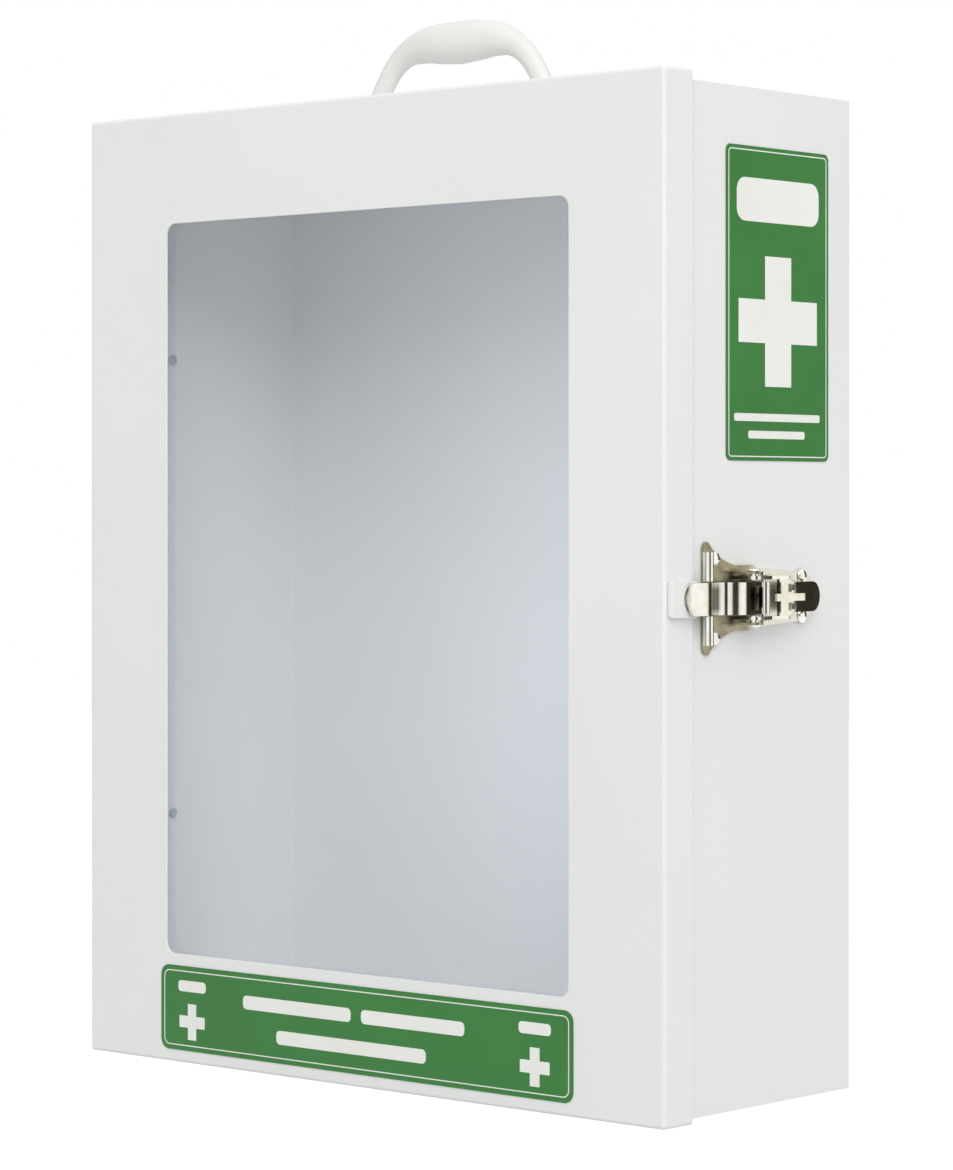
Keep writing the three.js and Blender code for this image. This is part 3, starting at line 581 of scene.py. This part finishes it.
# On both labels a bar is its left end, right end and middle as shares of the label, with its
# height; the crosses have a size and an arm.
frontPrint = {
    "corner": 5 * mm, "lineInset": 2.2 * mm, "lineCorner": 3.4 * mm, "barRound": 0.35,
    "bars": [
        (0.215, 0.485, 0.34, 6.4 * mm), (0.51, 0.755, 0.34, 6.4 * mm), (0.30, 0.665, 0.70, 6.4 * mm),
    ],
    "ends": (0.082, 0.915), "endBar": (0.036, 0.235, 5.2 * mm),
    "crossAt": 0.655, "crossSize": 17 * mm, "crossArm": 5.6 * mm,
}
sidePrint = {
    "corner": 3 * mm, "lineInset": 1.6 * mm, "lineCorner": 2 * mm, "barRound": 0.3,
    "bars": [
        (0.10, 0.90, 0.17, 19 * mm), (0.075, 0.91, 0.862, 3.4 * mm), (0.21, 0.76, 0.917, 3.4 * mm),
    ],
    "crossAt": 0.555, "crossSize": 57 * mm, "crossArm": 19 * mm,
}


def inkBlock(low, high, radius, along):
    return roundedBlock(low, high, radius, along, 6)


# A thin frame line inset from the label's edge.
def keylineFrame(low, high, inset, radius, along):
    grow = {"Y": Vector((1, 0, 1)), "X": Vector((0, 1, 1))}[along]
    outer = inkBlock(low + grow * inset, high - grow * inset, radius, along)
    step = inset + label["keyline"]
    through = Vector((1, 1, 1)) - grow
    inner = inkBlock(
        low + grow * step - through * mm, high - grow * step + through * mm,
        max(radius - label["keyline"], 0.3 * mm), along,
    )
    cut(outer, inner)
    return outer


# A plain upright cross made from two blocks.
def crossOn(centre, size, arm, depth, along):
    a, b = size / 2, arm / 2
    if along == "Y":
        tall = cube(centre + Vector((-b, 0, -a)), centre + Vector((b, depth, a)))
        wide = cube(centre + Vector((-a, 0, -b)), centre + Vector((a, depth, b)))
    else:
        tall = cube(centre + Vector((0, -b, -a)), centre + Vector((depth, b, a)))
        wide = cube(centre + Vector((0, -a, -b)), centre + Vector((depth, a, b)))
    apply(tall, "BOOLEAN", object=wide, operation="UNION", solver="EXACT")
    bpy.data.objects.remove(wide)
    return tall


def makeFrontLabel():
    low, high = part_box("front_label")
    obj = roundedBlock(low, high, frontPrint["corner"], "Y", 8)
    softenEdges(obj, label["edge"], 2, 60)
    finished(obj, "frontLabel", "door", greenVinyl, ["front_label"])
    width, height = high.x - low.x, high.z - low.z
    ink = label["ink"]
    faceLow = Vector((low.x, low.y - ink, low.z))
    faceHigh = Vector((high.x, low.y, high.z))
    prints = [keylineFrame(faceLow, faceHigh, frontPrint["lineInset"], frontPrint["lineCorner"], "Y")]

    def bar(left, right, middle, tall):
        z = high.z - middle * height
        prints.append(inkBlock(
            (low.x + left * width, low.y - ink, z - tall / 2),
            (low.x + right * width, low.y, z + tall / 2), tall * frontPrint["barRound"], "Y",
        ))

    for place in frontPrint["bars"]:
        bar(*place)
    reach, down, tall = frontPrint["endBar"]
    for across in frontPrint["ends"]:
        bar(across - reach, across + reach, down, tall)
        z = high.z - frontPrint["crossAt"] * height
        middle = Vector((low.x + across * width, low.y - ink, z))
        prints.append(crossOn(middle, frontPrint["crossSize"], frontPrint["crossArm"], ink, "Y"))
    joinTo(prints[0], *prints[1:])
    finished(prints[0], "frontLabelPrint", "door", whiteInk)


def makeSideLabel():
    low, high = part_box("side_label")
    obj = roundedBlock(low, high, sidePrint["corner"], "X", 6)
    softenEdges(obj, label["edge"], 2, 60)
    finished(obj, "sideLabel", "cabinet", greenVinyl, ["side_label"])
    width, height = high.y - low.y, high.z - low.z
    ink = label["ink"]
    faceLow = Vector((high.x, low.y, low.z))
    faceHigh = Vector((high.x + ink, high.y, high.z))
    prints = [keylineFrame(faceLow, faceHigh, sidePrint["lineInset"], sidePrint["lineCorner"], "X")]

    def bar(left, right, middle, tall):
        z = high.z - middle * height
        prints.append(inkBlock(
            (high.x, low.y + left * width, z - tall / 2),
            (high.x + ink, low.y + right * width, z + tall / 2), tall * sidePrint["barRound"], "X",
        ))

    for place in sidePrint["bars"]:
        bar(*place)
    middle = Vector((high.x, (low.y + high.y) / 2, high.z - sidePrint["crossAt"] * height))
    prints.append(crossOn(middle, sidePrint["crossSize"], sidePrint["crossArm"], ink, "X"))
    joinTo(prints[0], *prints[1:])
    finished(prints[0], "sideLabelPrint", "cabinet", whiteInk)


makeFrontLabel()
makeSideLabel()
print("labels made")

handle = {
    "centre": (0, -67 * mm, 228.5 * mm), "flatten": 0.86,
    # half of the bow from its foot: across, up, half thickness
    "half": [
        (53.7, -1.5, 4.7), (51.2, 5, 4.8), (46.4, 13, 4.9), (40.8, 19.8, 5.2), (33.4, 25, 6.1),
        (23.5, 27.9, 8.0), (12, 28.3, 9.5),
    ],
    "middle": (0, 28, 10),
    # the bosses at its feet and the pivot stubs that stick out of them
    "bossAt": 53.2 * mm, "bossRadius": 4.9 * mm, "bossLength": 6.4 * mm, "bossEdge": 1 * mm,
    "stubAt": 57.2 * mm, "stubRadius": 2.5 * mm, "stubLength": 7 * mm, "stubEdge": 0.4 * mm,
}


def makeHandle():
    half = handle["half"]
    points = half + [handle["middle"]] + [(-x, z, r) for x, z, r in reversed(half)]
    curve = bpy.data.curves.new("handle", "CURVE")
    curve.dimensions = "3D"
    curve.bevel_depth = mm
    curve.bevel_resolution = 7
    curve.resolution_u = 6
    curve.use_fill_caps = True
    spline = curve.splines.new("BEZIER")
    spline.bezier_points.add(len(points) - 1)
    for knot, (x, z, radius) in zip(spline.bezier_points, points):
        knot.co = (x * mm, 0, z * mm)
        knot.radius = radius
        knot.handle_left_type = knot.handle_right_type = "AUTO"
    obj = bpy.data.objects.new("handle", curve)
    bpy.context.collection.objects.link(obj)
    only(obj)
    bpy.ops.object.convert(target="MESH")
    obj = bpy.context.object
    obj.location = handle["centre"]
    obj.scale = (1, handle["flatten"], 1)
    settle(obj)
    pick(obj, "EDGE", lambda c, d: True)
    bpy.ops.mesh.remove_doubles(threshold=0.01 * mm)
    bpy.ops.mesh.normals_make_consistent(inside=False)
    objectMode()
    stubs = []
    for side in (-1, 1):
        x, y, z = handle["centre"]
        at = (side * handle["bossAt"], y, z)
        boss = cylinder(at, handle["bossRadius"], handle["bossLength"], "X", 40)
        softenEdges(boss, handle["bossEdge"], 4, 60)
        at = (side * handle["stubAt"], y, z)
        stub = cylinder(at, handle["stubRadius"], handle["stubLength"], "X", 32)
        softenEdges(stub, handle["stubEdge"], 2, 60)
        stubs += [boss, stub]
    joinTo(obj, *stubs)
    finished(obj, "carryHandle", "handle", handlePlastic, ["carry_handle"], 50)


makeHandle()
print("handle made")

# A merged copy of a frame node with its edges rounded.
def refine(node, body, material, width, segments=2, sharp=50, angle=35):
    obj = copyOf(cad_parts[node], node + "Fine")
    obj.parent = None
    for key in list(obj.keys()):
        if key.startswith("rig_"):
            del obj[key]
    pick(obj, "FACE", lambda c, n: True)
    bpy.ops.mesh.remove_doubles(threshold=0.002 * mm)
    bpy.ops.mesh.dissolve_limited(angle_limit=math.radians(1))
    objectMode()
    softenEdges(obj, width, segments, sharp)
    parts = node.split("_")
    name = parts[0] + "".join(p.capitalize() for p in parts[1:])
    return finished(obj, name, body, material, [node], angle)


for name in ("top_panel", "bottom_panel"):
    refine(name, "cabinet", whitePaint, 0.3 * mm)
refine("latch_keeper", "door", whitePaint, 0.5 * mm, 3)
for name in ("handle_bracket_left", "handle_bracket_right"):
    refine(name, "cabinet", whitePaint, 0.25 * mm)
for place in ("upper", "lower"):
    refine(f"hinge_{place}_cabinet_leaf", "cabinet", zinc, 0.2 * mm)
    refine(f"hinge_{place}_door_leaf", "door", zinc, 0.2 * mm)
    refine(f"hinge_{place}_pin", "cabinet", zinc, 0.2 * mm)
    refine(f"latch_pivot_{place}", "cabinet", nickel, 0.2 * mm)
for side in ("top", "bottom", "left", "right"):
    refine(f"pane_strip_{side}", "door", zinc, 0.2 * mm)
    for number in (1, 2):
        refine(f"pane_nut_{side}_{number}", "door", zinc, 0.3 * mm)
latchPlate = refine("latch_base", "cabinet", dullNickel, 0.25 * mm)
latchPlate.data.materials.append(nickel)  # the rolled front edge gets the paler, glossier nickel: a painted highlight on the roll
roll = {"deep": 4.9 * mm, "above": 1.3 * mm}
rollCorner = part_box("latch_base")[0]
for face in latchPlate.data.polygons:
    ahead = face.center.y < rollCorner.y + roll["deep"]
    if ahead and face.center.x > rollCorner.x + roll["above"]:
        face.material_index = 1
refine("latch_lever", "latch_lever", nickel, 0.3 * mm)
refine("latch_claw", "latch_claw", clawNickelPaintedReflection, 0.3 * mm)
refine("latch_claw_pin", "latch_lever", nickel, 0.2 * mm)
print("hardware made")

rivet = {
    "head": 3.2 * mm, "headHeight": 1.3 * mm, "shank": 1.6 * mm, "tail": 2.3 * mm,
    "tailHeight": 0.8 * mm, "overlap": 0.1 * mm,
}


# Half of a flattened ball, standing on its flat face.
def dome(middle, index, base, outward):
    centre = middle.copy()
    centre[index] = base
    scale = Vector((rivet["head"], rivet["head"], rivet["head"]))
    scale[index] = rivet["headHeight"]
    bpy.ops.object.select_all(action="DESELECT")
    bpy.ops.mesh.primitive_uv_sphere_add(
        segments=32, ring_count=16, radius=1, location=centre, scale=scale
    )
    obj = bpy.context.object
    settle(obj)
    along = Vector((0, 0, 0))
    along[index] = outward
    pick(obj, "FACE", lambda c, n: True)
    bpy.ops.mesh.bisect(plane_co=centre, plane_no=along, use_fill=True, clear_inner=True)
    objectMode()
    return obj


# A rivet that fills its node's box: a domed head at the outward end and a set tail at the other.
def rivetAlong(low, high, axis, outward, name, body, material):
    index = "XYZ".index(axis)
    middle = (low + high) / 2
    outer, inner = (high[index], low[index]) if outward > 0 else (low[index], high[index])

    def piece(radius, start, end, edge, segments):
        centre = middle.copy()
        centre[index] = (start + end) / 2
        obj = cylinder(centre, radius, abs(end - start), axis, 32)
        softenEdges(obj, edge, segments, 60)
        return obj

    base = outer - outward * rivet["headHeight"]
    tail = inner + outward * rivet["tailHeight"]
    head = dome(middle, index, base, outward)
    overlap = outward * rivet["overlap"]
    shank = piece(rivet["shank"], tail - overlap, base + overlap, 0.1 * mm, 1)
    button = piece(rivet["tail"], inner, tail, 0.3 * mm, 2)
    joinTo(head, shank, button)
    parts = name.split("_")
    plain = parts[0] + "".join(p.capitalize() for p in parts[1:])
    finished(head, plain, body, material, [name], 50)


for name in sorted(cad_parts):
    if "rivet" not in name:
        continue
    low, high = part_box(name)
    if name.startswith("hinge"):
        body = "door" if "door" in name else "cabinet"
        rivetAlong(low, high, "X", -1, name, body, zinc)
    elif name.startswith("latch"):
        rivetAlong(low, high, "X", 1, name, "cabinet", nickel)
    else:
        rivetAlong(low, high, "Z", 1, name, "cabinet", zinc)

foot = {"edge": 1 * mm, "taper": 0.92}
for corner in ("front_left", "front_right", "rear_left", "rear_right"):
    low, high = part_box("foot_" + corner)
    obj = cylinder((low + high) / 2, (high.x - low.x) / 2, high.z - low.z, "Z", 48)
    pick(obj, "FACE", lambda c, n: n.z > 0.9)
    bpy.ops.transform.resize(value=(foot["taper"], foot["taper"], 1))
    objectMode()
    softenEdges(obj, foot["edge"], 4, 60)
    plain = "foot" + "".join(p.capitalize() for p in corner.split("_"))
    finished(obj, plain, "cabinet", rubber, ["foot_" + corner], 50)
print("rivets and feet made")
